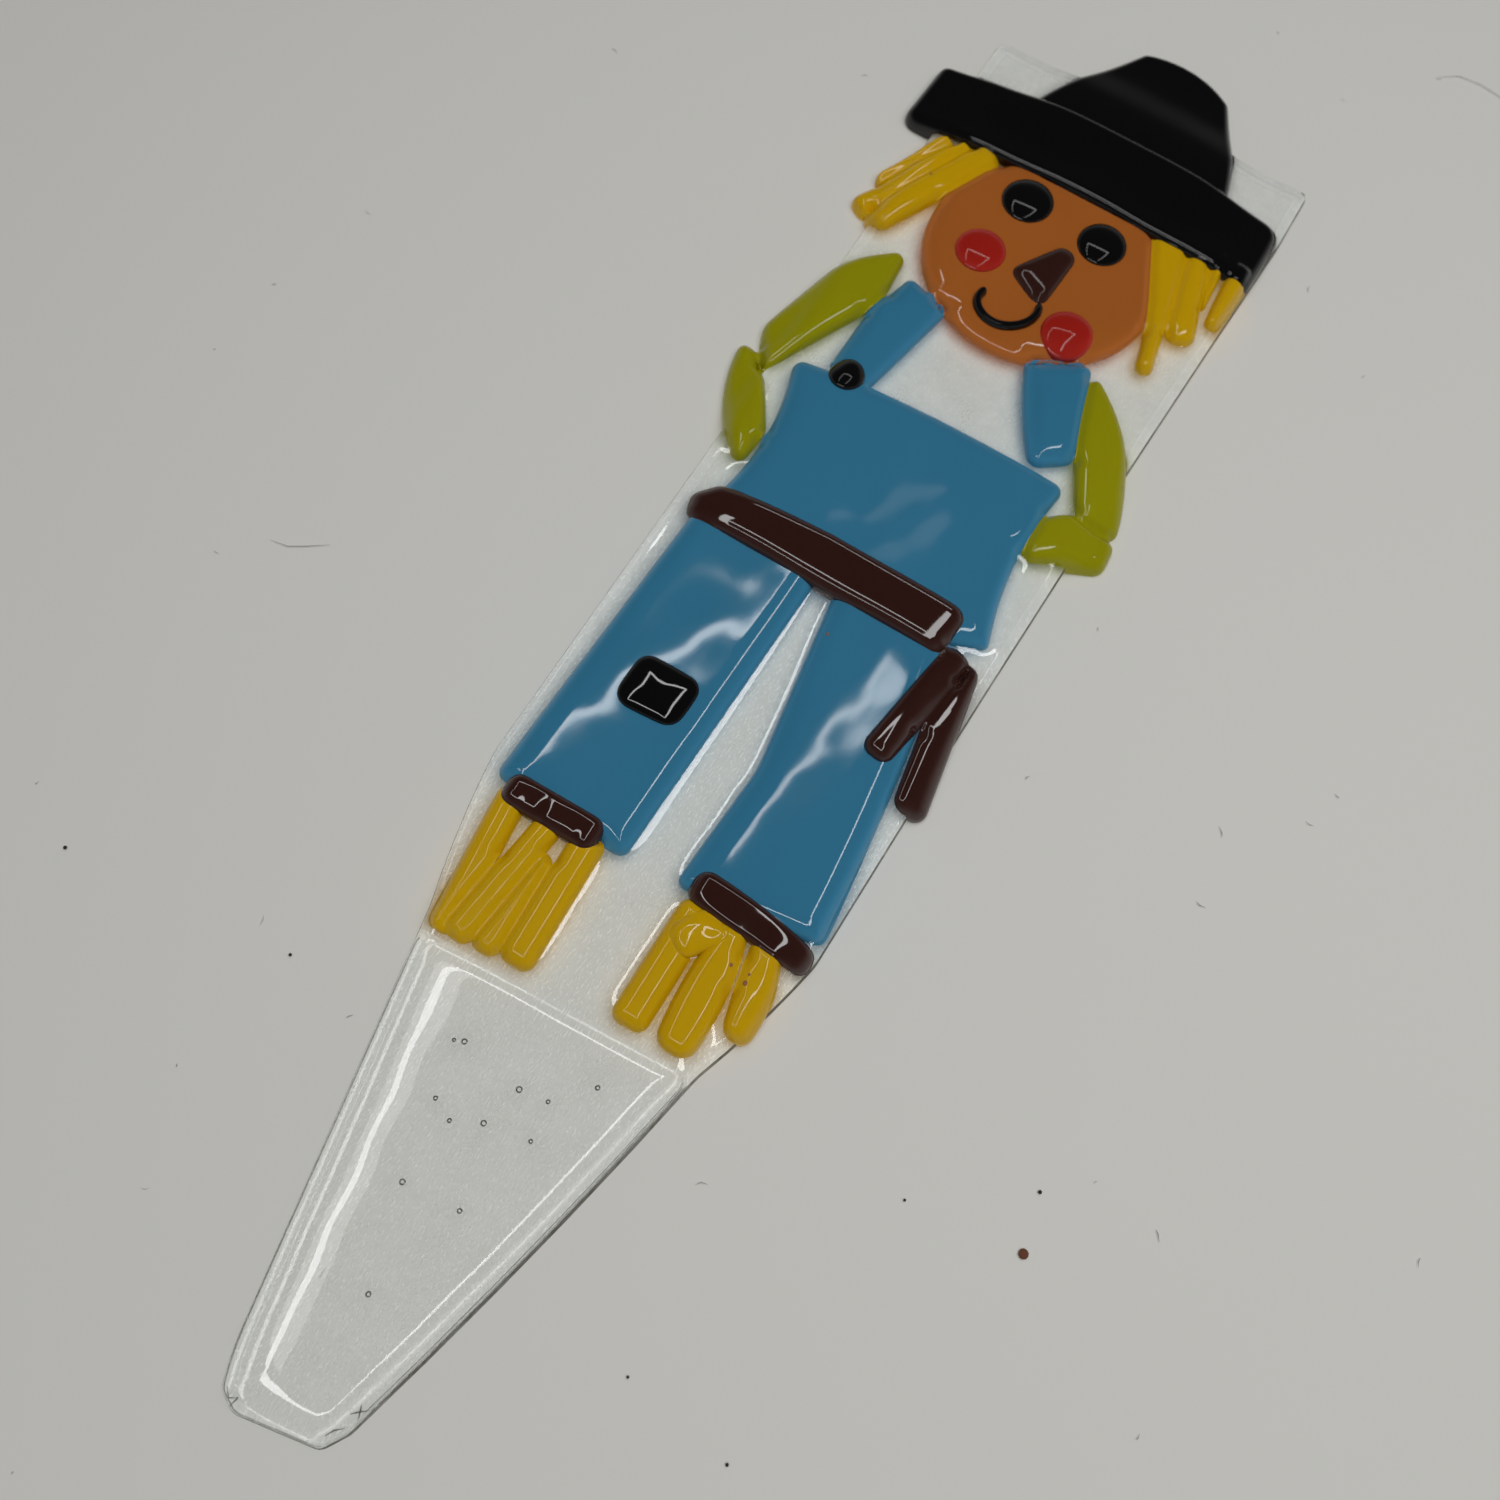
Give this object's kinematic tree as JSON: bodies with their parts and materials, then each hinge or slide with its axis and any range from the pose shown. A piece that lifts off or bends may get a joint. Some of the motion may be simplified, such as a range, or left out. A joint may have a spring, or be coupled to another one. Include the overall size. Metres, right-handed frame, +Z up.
{
  "type": "scarecrow garden stake",
  "caption": "Flat fused-glass garden stake: a clear tapered blank with a pointed spike, carrying a scarecrow figure built from melted-on opal-glass pieces.",
  "frame": {"origin": "middle of the spike's tip end, on the flat back face", "axes": "+Z runs up the figure from the spike's tip to the hat, the decorated front faces -Y, the flat back lies in the plane y = 0 and faces +Y, +X is to the viewer's right from the front"},
  "size_m": [0.0865, 0.0079, 0.3231],
  "materials": {
    "clear_glass": "clear sheet glass, fire-polished, kiln-shelf texture on the back",
    "black_glass": "opaque black opal glass, fire-polished gloss",
    "face_glass": "opaque tan-orange opal glass, fire-polished gloss",
    "red_glass": "opaque red opal glass, fire-polished gloss",
    "brown_glass": "opaque dark chocolate-brown opal glass, fire-polished gloss",
    "yellow_glass": "opaque straw-yellow opal glass, fire-polished gloss",
    "green_glass": "opaque lime-green opal glass, fire-polished gloss",
    "blue_glass": "opaque sky-blue opal glass, fire-polished gloss"
  },
  "bodies": {
    "root": {"clear_base": "clear_glass", "spike_cap": "clear_glass", "hat_crown": "black_glass", "hat_brim": "black_glass", "eye_left": "black_glass", "eye_right": "black_glass", "smile": "black_glass", "knee_patch": "black_glass", "button": "black_glass", "face": "face_glass", "cheek_left": "red_glass", "cheek_right": "red_glass", "nose": "brown_glass", "belt": "brown_glass", "belt_tail_inner": "brown_glass", "belt_tail_outer": "brown_glass", "cuff_left": "brown_glass", "cuff_right": "brown_glass", "hair_left_outer": "yellow_glass", "hair_left_middle": "yellow_glass", "hair_left_inner": "yellow_glass", "hair_right_inner": "yellow_glass", "hair_right_middle": "yellow_glass", "hair_right_short": "yellow_glass", "hair_right_outer": "yellow_glass", "straw_left_1": "yellow_glass", "straw_left_2": "yellow_glass", "straw_left_3": "yellow_glass", "straw_left_4": "yellow_glass", "straw_right_1": "yellow_glass", "straw_right_2": "yellow_glass", "straw_right_3": "yellow_glass", "straw_right_4": "yellow_glass", "sleeve_left_upper": "green_glass", "sleeve_left_lower": "green_glass", "sleeve_right_upper": "green_glass", "sleeve_right_lower": "green_glass", "bib": "blue_glass", "strap_left": "blue_glass", "strap_right": "blue_glass", "leg_left": "blue_glass", "leg_right": "blue_glass"}
  },
  "joints": []
}
